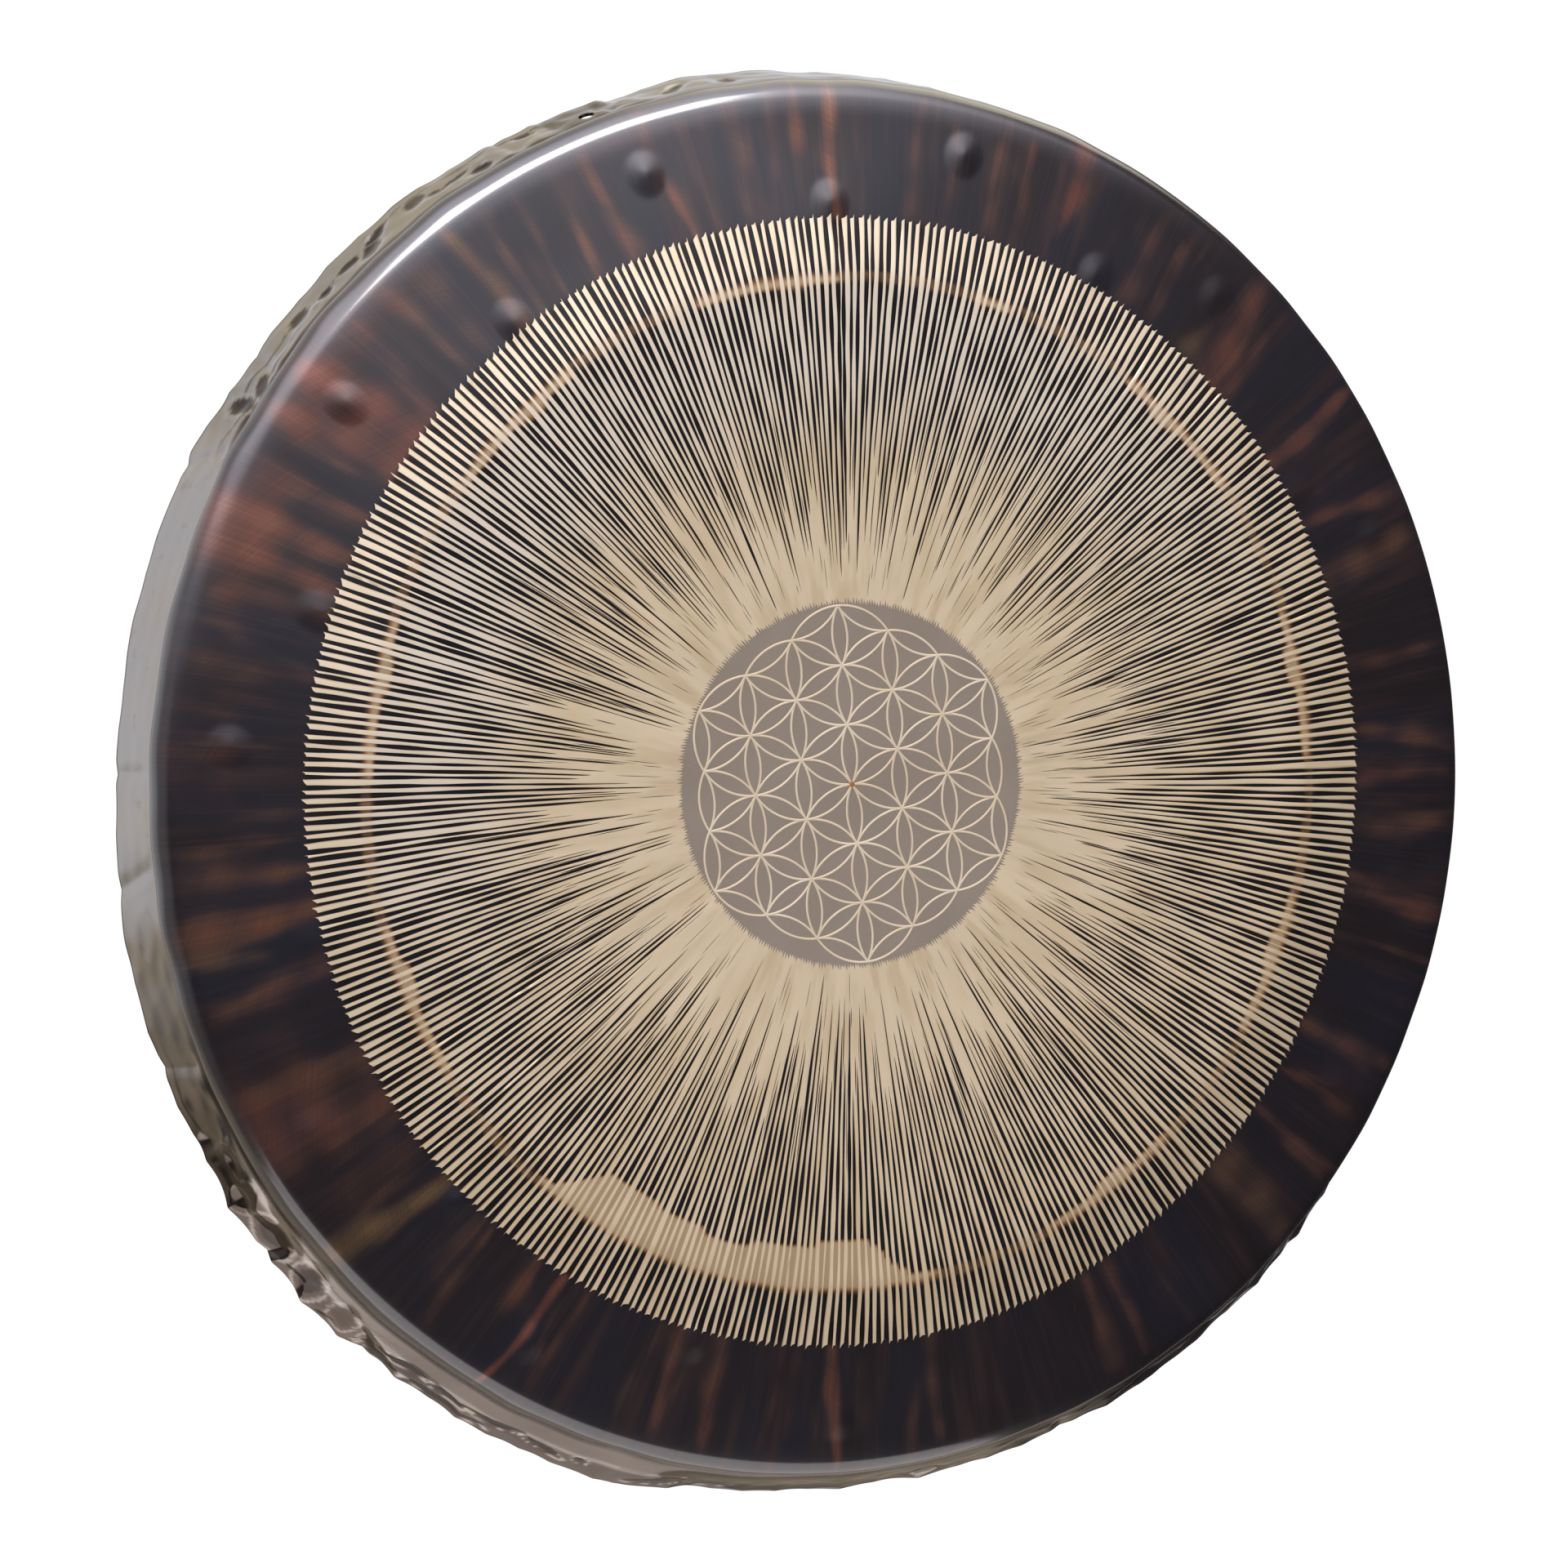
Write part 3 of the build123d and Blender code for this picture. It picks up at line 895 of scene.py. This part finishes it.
def make_rim(outside, inside):
    """The flared, hammered rim with its two open holes."""
    angle = np.repeat(ring_angles()[:, None], RIM_ROWS, 1)
    t = np.repeat(np.linspace(0, 1, RIM_ROWS)[None], COLUMNS, 0)
    holes = [open_hole(angle, t, side) for side in (-1, 1)]
    outer = rim_points(angle, t, 0)
    inner = rim_points(angle, t, SHEET)
    f = np.arange(angle.size).reshape(angle.shape)
    b = f + f.size
    kept = np.ones((COLUMNS, RIM_ROWS - 1), bool)
    for column, row in holes:
        for i in range(-HOLE_COLUMNS, HOLE_COLUMNS):
            kept[(column + i) % COLUMNS, row - HOLE_ROWS : row + HOLE_ROWS] = False
    kept = kept.ravel()
    patches = [
        (grid_faces(f)[kept], outside),
        (grid_faces(b)[kept][:, ::-1], inside),
        (band_faces(f[:, -1], b[:, -1]), outside),
        (band_faces(b[:, 0], f[:, 0]), inside),
    ]
    for column, row in holes:
        patches.append((band_faces(hole_loop(b, column, row), hole_loop(f, column, row)), outside))
    dark = np.tile(rim_darkness(angle, t).ravel(), 2)
    rim = make_object("rim_flange_shell", points_of(outer, inner), patches, {"dark": dark})
    finish_piece(rim, "hammered_bronze", "rim_flange")


# ---- the scraped rays

RAY_COUNT = 400
RAY_LIFT = 0.10 * MM  # bare metal stands this far in front of the patina
RAY_ROOT = 0.3 * MM
TOOTH_IN, TOOTH_OUT = 113.2 * MM, 117.4 * MM
SECTORS = 4
DENSE_ROWS = 232 * MM  # the mesh rows are closer together inside this radius
# Where the gaps close: ranges of radius, and the share of the gaps in each
GAP_ENDS = [(0.145, 0.195), (0.118, 0.150), (0.19, 0.22)]
GAP_SHARES = [0.6, 0.24, 0.16]
SHUT = 0.03 * MM  # a gap of less than this half width is shut
SLIVER = 0.17 * MM  # half width of the slivers next to the medallion
BROWN_EDGE = 0.3 * MM  # a gap's edges are browner until it is this half width
# Shares of the pitch: how far gaps lean and stray, and their largest half width
GAP_LEAN, GAP_STRAY, GAP_LARGEST = 0.35, 0.07, 0.4
MAIN_DRIFT, SIDE_DRIFT = 0.22 * MM, 0.1 * MM  # how far a gap wanders from a straight line
RAY_CROWN = 0.05 * MM  # a ray's middle stands this far in front of its edges


def ray_levels():
    """Nominal radii of the rays' rows, closer together where the gaps end."""
    inner = np.linspace(TOOTH_OUT, DENSE_ROWS, 50)
    outer = np.linspace(DENSE_ROWS, RAYS, 27)
    return np.concatenate([inner, outer[1:]])


def wander(own, levels, amount):
    """A slow sideways drift along one gap."""
    waves = zip(own.uniform(25, 95, 3), own.uniform(0, TURN, 3), own.uniform(0.4, 1.0, 3))
    return amount * sum(share * np.sin(levels * pace + phase) for pace, phase, share in waves) / 2


def main_gap(own, levels):
    """Half width of a gap between two rays: open outside, closed towards the middle."""
    closes = own.choice([own.uniform(*ends) for ends in GAP_ENDS], p=GAP_SHARES)
    widest = own.uniform(1.2, 1.65) * MM if own.random() > 0.02 else own.uniform(0.7, 1.0) * MM
    share = np.clip((levels - closes) / (RAYS - closes), 0, None)
    uneven = 1 + 0.22 * np.sin(levels * own.uniform(60, 160) + own.uniform(0, TURN))
    half = widest * share ** own.uniform(0.42, 0.66) * uneven
    if own.random() < 0.3:
        start = own.uniform(0.118, 0.135)
        end = min(start + own.uniform(0.01, 0.03), closes - 0.004)
        half = half + sliver(levels, start, end, SLIVER)
    return half


def sliver(levels, start, end, half):
    """Half width of a lens-shaped sliver between two radii."""
    if end <= start + 0.005:
        return np.zeros_like(levels)
    t = np.clip((levels - start) / (end - start), 0, 1)
    return half * np.sqrt(np.sin(pi * t)) * (t > 0) * (t < 1)


def side_gap(own, levels):
    """Half width of the sliver inside one ray: about every second ray has one."""
    if own.random() < 0.5:
        start = own.uniform(0.135, 0.215)
        return sliver(levels, start, start + own.uniform(0.012, 0.055), own.uniform(0.14, 0.32) * MM)
    return np.zeros_like(levels)


def ray_columns():
    """Both sides of every gap, between the rays and inside them: angles, radii, mask and openness."""
    own = np.random.default_rng(7)
    levels = ray_levels()
    share = (levels - TOOTH_OUT) / (RAYS - TOOTH_OUT)
    pitch = TURN / RAY_COUNT
    slants = np.interp(np.arange(RAY_COUNT), np.linspace(0, RAY_COUNT, 25), own.normal(0, GAP_LEAN, 25))
    made = []
    for i in range(2 * RAY_COUNT):
        is_main = i % 2 == 0
        half = main_gap(own, levels) if is_main else side_gap(own, levels)
        half = np.minimum(half, GAP_LARGEST * pitch * levels / (1 if is_main else 2))
        half[half < SHUT] = 0
        if is_main:
            half[0] = 0
            half[-1] = max(half[-1], 4 * SHUT)
        else:
            half[:2] = 0
            half[-12:] = 0
        stray = own.normal(0, GAP_STRAY) * pitch
        centre = i * pitch / 2 + stray + slants[i // 2] * pitch * (share - 0.5)
        centre = centre + wander(own, levels, MAIN_DRIFT if is_main else SIDE_DRIFT) / levels
        if is_main:
            start = TOOTH_OUT + own.uniform(-2.6, 0.7) * MM
        else:
            start = TOOTH_IN + own.uniform(-0.5, 0.5) * MM
        near, far = own.uniform(-1.0, 0.8) * MM, own.uniform(1.4, 3.2) * MM
        if not is_main:
            centre[0] += 0.3 * pitch
            near = far = 0.5 * MM
        radii = [start + (RAYS + reach - start) * share for reach in (far, near)]
        brown = np.clip(half / BROWN_EDGE, 0, 1)
        made.append((centre - half / levels, centre + half / levels, *radii, brown))
    left, right, radius_left, radius_right, side = (np.array(values) for values in zip(*made))
    opened = side > 0
    return left, right, radius_left, np.where(opened, radius_right, radius_left), side, opened


def ray_points(columns, sector):
    """Vertex numbers and points of one sector's front and root. Shut gaps share their vertices."""
    left, right, radius_left, radius_right, side, opened = columns
    count = 2 * RAY_COUNT // SECTORS
    picked = np.arange(sector * count, (sector + 1) * count + 1)
    turns = np.where(picked >= 2 * RAY_COUNT, TURN, 0.0)[:, None]
    picked = picked % (2 * RAY_COUNT)
    angle = np.stack([left[picked] + turns, right[picked] + turns], 1)
    radius = np.stack([radius_left[picked], radius_right[picked]], 1)
    mask = np.stack([side[picked], -side[picked]], 1)
    crown = np.where(picked % 2 == 1, RAY_CROWN, 0.0)[:, None, None]
    front = face_points(angle, radius, RAY_LIFT + crown * np.ones_like(angle))
    root = face_points(angle, radius, -RAY_ROOT)
    index = np.arange(angle.size).reshape(angle.shape)
    shared = ~opened[picked]
    index[:, 1][shared] = index[:, 0][shared]
    return index, points_of(front, root), np.tile(mask.ravel(), 2), opened[picked]


def make_rays(material):
    """The scraped rays, as closed shells in four sectors."""
    columns = ray_columns()
    for sector in range(SECTORS):
        index, points, mask, opened = ray_points(columns, sector)
        root = len(points) // 2  # from a front vertex's number to that of the one behind it
        start, end = index[:-1, 1], index[1:, 0]
        tops = np.stack([start[:, :-1], end[:, :-1], end[:, 1:], start[:, 1:]], -1).reshape(-1, 4)
        walled = opened[:, :-1] | opened[:, 1:]
        walled[[0, -1]] = True
        right = np.stack([end[:, :-1], end[:, :-1] + root, end[:, 1:] + root, end[:, 1:]], -1)
        left = np.stack([start[:, :-1], start[:, 1:], start[:, 1:] + root, start[:, :-1] + root], -1)
        tips = np.stack([start[:, -1], end[:, -1], end[:, -1] + root, start[:, -1] + root], -1)
        teeth = np.stack([start[:, 0], start[:, 0] + root, end[:, 0] + root, end[:, 0]], -1)
        sides = [tops, tops[:, ::-1] + root, right[walled[1:]], left[walled[:-1]], tips, teeth]
        patches = [(faces, material) for faces in sides]
        piece = make_object(f"ray_strips_{sector + 1}", points, patches, {"side": mask})
        finish_piece(piece, "scraped_bronze", "ray_band")


# ---- the medallion

LATTICE = 37.5 * MM  # spacing of the flower's crossings, and the radius of its circles
FLOWER_TURN = radians(-6.3)
FLOWER_RINGS = 3
LINE_WIDTH = 1.6 * MM
LINE_HEIGHT = 0.16 * MM
LINE_ROOT = 0.25 * MM
# A line's section, as shares of its half width and height: over the crown, then back along the root
LINE_ACROSS = np.array([-1, -0.86, -0.5, 0, 0.5, 0.86, 1, 0.9, -0.9])
LINE_CROWN = np.array([0, 0.45, 0.85, 1, 0.85, 0.45, 0, 0, 0])
CIRCLE_STEP = 0.012 * MM  # crossing lines lie this much in front of one another
COAT_LIFT = 0.05 * MM
COAT_ROOT = 0.3 * MM
COAT_RADIUS = 118.8 * MM
STAR_POINTS = 24
STAR_LONG, STAR_SHORT, STAR_NOTCH = 3.8 * MM, 2.5 * MM, 1.3 * MM
ARC_STEPS = 16  # mesh steps in each sixth of a circle


def lattice_ring(q, r):
    """Steps from the middle to a point of the triangular lattice."""
    return max(abs(q), abs(r), abs(q + r))


def lattice_place(q, r):
    """Place of a lattice point in the plane of the face: across and up."""
    across = LATTICE * (r * sin(pi / 3))
    up = LATTICE * (q + r * cos(pi / 3))
    return Vector((across, up))


STEPS = [(1, 0), (0, 1), (-1, 1), (-1, 0), (0, -1), (1, -1)]  # neighbours, clockwise from the top


def circle_runs(q, r):
    """Stretches of one circle that are drawn, as first and last sixths of a turn."""
    inside = [lattice_ring(q + a, r + b) <= FLOWER_RINGS for a, b in STEPS]
    drawn = [inside[k] and inside[(k + 1) % 6] for k in range(6)]
    if all(drawn):
        return [(0, 6)]
    runs = []
    for k in range(6):
        if drawn[k] and not drawn[k - 1]:
            length = 1
            while drawn[(k + length) % 6]:
                length += 1
            runs.append((k, k + length))
    return runs


def ribbon(path, whole, lift):
    """Front, sides and root of a crowned line along a path in the plane of the face."""
    ahead = np.roll(path, -1, 0) - np.roll(path, 1, 0)
    if not whole:
        ahead[0], ahead[-1] = path[1] - path[0], path[-1] - path[-2]
    ahead /= np.linalg.norm(ahead, axis=1)[:, None]
    sideways = np.stack([ahead[:, 1], -ahead[:, 0]], 1)
    across = LINE_ACROSS * LINE_WIDTH / 2
    height = LINE_CROWN * LINE_HEIGHT + lift
    height[-2:] = -LINE_ROOT
    flat = path[:, None] + sideways[:, None] * across[None, :, None]
    angle = np.arctan2(flat[..., 0], flat[..., 1])
    radius = np.hypot(flat[..., 0], flat[..., 1])
    return face_points(angle, radius, height[None, :])


def make_flower(material):
    """The engraved flower: circles on a triangular lattice, drawn between its crossings."""
    shells, faces, caps, sides = [], [], [], []
    corners = len(LINE_ACROSS)
    total = 0
    spin = Matrix.Rotation(-FLOWER_TURN, 2)
    reach = range(-FLOWER_RINGS - 1, FLOWER_RINGS + 2)
    for q, r in [(q, r) for q in reach for r in reach if lattice_ring(q, r) <= FLOWER_RINGS + 1]:
        for first, last in circle_runs(q, r):
            whole = last - first == 6
            count = (last - first) * ARC_STEPS + (0 if whole else 1)
            turn = (first + np.arange(count) / ARC_STEPS) * pi / 3
            middle = lattice_place(q, r)
            path = np.stack([middle.x + LATTICE * np.sin(turn), middle.y + LATTICE * np.cos(turn)], 1)
            path = path @ np.array(spin).T
            shell = ribbon(path, whole, COAT_LIFT + CIRCLE_STEP * ((q - r) % 3))
            index = total + np.arange(count * corners).reshape(count, corners)
            ring = np.concatenate([index, index[:, :1]], 1)
            faces.append(grid_faces(ring, whole)[:, ::-1])
            if not whole:
                caps.append(index[:1])
                caps.append(index[-1:, ::-1])
            shells.append(shell)
            sides.append(np.tile(LINE_ACROSS, count))
            total += index.size
    patches = [(np.concatenate(faces), material), (np.concatenate(caps), material)]
    masks = {"side": np.concatenate(sides)}
    flower = make_object("flower_lines", points_of(*shells), patches, masks, sharp=70)
    finish_piece(flower, "grey_lacquer", "centre_medallion")


def make_mark(material):
    """The small brown star where the middle lines cross."""
    loop = np.arange(STAR_POINTS)
    radii = np.where(loop % 4 == 0, STAR_LONG, np.where(loop % 2 == 0, STAR_SHORT, STAR_NOTCH))
    angle = loop * TURN / STAR_POINTS + FLOWER_TURN
    top = face_points(angle, radii, COAT_LIFT + LINE_HEIGHT + 0.03 * MM)
    root = face_points(angle, radii, 0)
    middle = face_points(np.zeros(2), np.zeros(2), np.array([COAT_LIFT + LINE_HEIGHT + 0.12 * MM, 0]))
    patches = [
        (fan_faces(loop, 2 * STAR_POINTS), material),
        (fan_faces(loop + STAR_POINTS, 2 * STAR_POINTS + 1)[:, ::-1], material),
        (band_faces(loop, loop + STAR_POINTS), material),
    ]
    mark = make_object("centre_mark", points_of(top, root, middle), patches)
    finish_piece(mark, "grey_lacquer", "centre_medallion")


def make_medallion():
    """The medallion's painted grey layer, a painted reflection, the flower and the mark."""
    grey = grey_painted_reflection()
    radii = np.linspace(FAN_RADIUS, COAT_RADIUS, 30)
    coat = disc("medallion_coat", radii, COAT_LIFT, COAT_ROOT, grey, grey)
    finish_piece(coat, "grey_lacquer", "centre_medallion")
    make_flower(engraved_line())
    make_mark(centre_brown())


# ---- studio

FLOOR_Z = -1.0
FLOOR_EDGES = (-1.1, 0.5, -0.65, 0.3)  # left, right, front and back
CAMERA_FROM_FACE = Vector((-0.9620, -2.4121, 0.1142))
CAMERA_LENS = 95.06
GONG_LEAN, CAMERA_TURN = -2.705, -20.78  # degrees
KEY_PLACE = Vector((-0.36, -1.34, 1.99))
KEY_WIDTH, KEY_HEIGHT, KEY_WATTS = 1.5, 0.96, 46
# Glows of the studio's ceiling: direction, cosines where they start and are full, colour
GLOWS = [
    ((0.42, 0.30, 0.86), 0.88, 0.97, (1.9, 1.75, 1.45)),
    ((-0.24, -0.60, 0.766), 0.50, 0.90, (2.4, 2.3, 2.55)),
]


def make_camera():
    """The viewing angle: from the left, level, with the gong leaning a little forward."""
    data = bpy.data.cameras.new("camera")
    data.lens = CAMERA_LENS
    data.sensor_width = 36
    data.clip_end = 200
    camera = bpy.data.objects.new("camera", data)
    level = Matrix.Rotation(radians(90), 4, "X")
    turned = Matrix.Rotation(radians(CAMERA_TURN), 4, "Z") @ level
    leaning = Matrix.Rotation(radians(GONG_LEAN), 4, "X") @ turned
    camera.matrix_world = Matrix.Translation(Vector((0, FACE_Y, AXIS_Z)) + CAMERA_FROM_FACE) @ leaning
    bpy.context.scene.collection.objects.link(camera)
    bpy.context.scene.camera = camera


def make_floor():
    """A plain pale floor, well below the hanging gong."""
    made = new_material("pale_floor")
    colour = made.blend(made.noise(1.5, 2.0), (0.80, 0.775, 0.75), (0.77, 0.745, 0.72))
    mesh = bpy.data.meshes.new("floor")
    left, right, front, back = FLOOR_EDGES
    corners = [(x, y, FLOOR_Z) for x, y in ((left, front), (right, front), (right, back), (left, back))]
    mesh.from_pydata(corners, [], [(0, 1, 2, 3)])
    mesh.materials.append(made.surface(Base_Color=colour, Roughness=0.9))
    floor = bpy.data.objects.new("floor", mesh)
    bpy.context.scene.collection.objects.link(floor)


def make_world():
    """White to the camera. Seen in the bronze: a dark front, pale walls behind, a glow overhead."""
    made = Nodes(bpy.data.worlds.new("studio"), "Generated")
    x, y, z = made.add("SeparateXYZ", {0: made.place}).outputs
    behind = made.scaled(made.ramp(y, 0.15, 0.42), made.ramp(x, 0.64, 0.44))
    wall = made.blend(made.ramp(z, -0.08, -0.5), (0.74, 0.74, 0.78), (0.36, 0.31, 0.25))
    wall = made.blend(made.ramp(z, 0.4, 0.7), wall, (0.70, 0.65, 0.56))
    skirt = made.scaled(made.ramp(z, -0.05, 0.38), made.ramp(x, 0.5, 0.2))
    front = made.blend(skirt, (0.040, 0.035, 0.038), (0.62, 0.60, 0.68))
    front = made.blend(made.ramp(x, -0.7, -0.95, 0, 0.5), front, (0.60, 0.58, 0.62))
    colour = made.blend(behind, front, wall)
    for centre, outer, inner, shade in GLOWS:
        nearness = made.vectors("DOT_PRODUCT", made.place, centre, "Value")
        glow = made.scaled(made.ramp(nearness, outer, inner), made.ramp(z, 0.25, 0.60))
        colour = made.blend(glow, colour, shade)
    seen = made.add("LightPath").outputs["Is Camera Ray"]
    lit = made.add("Background", {0: colour, 1: 1.0}).outputs[0]
    white = made.add("Background", {0: (1, 1, 1, 1), 1: 1.05}).outputs[0]
    mixed = made.add("MixShader", {0: seen, 1: lit, 2: white}).outputs[0]
    made.add("OutputWorld", {"Surface": mixed})
    bpy.context.scene.world = made.owner


def make_key_light():
    """One soft panel, high in front of the gong, that faces the gong's middle."""
    data = bpy.data.lights.new("key", "AREA")
    data.shape = "RECTANGLE"
    data.size = KEY_WIDTH
    data.size_y = KEY_HEIGHT
    data.energy = KEY_WATTS
    light = bpy.data.objects.new("key", data)
    back = KEY_PLACE.normalized()
    upwards = back.cross(Vector((1, 0, 0))).normalized()
    side = upwards.cross(back)
    light.matrix_world = Matrix.Translation(KEY_PLACE) @ Matrix((side, upwards, back)).transposed().to_4x4()
    light.visible_camera = False
    bpy.context.scene.collection.objects.link(light)


def make_studio():
    """Camera, floor, world and light."""
    make_camera()
    make_floor()
    make_world()
    make_key_light()
    bpy.context.scene.view_settings.view_transform = "Standard"


make_studio()
bare = scraped_bronze()
back = back_bronze()
make_zones(dark_patina(), bare, back)
make_rim(hammered_bronze(), back)
make_rays(bare)
make_medallion()
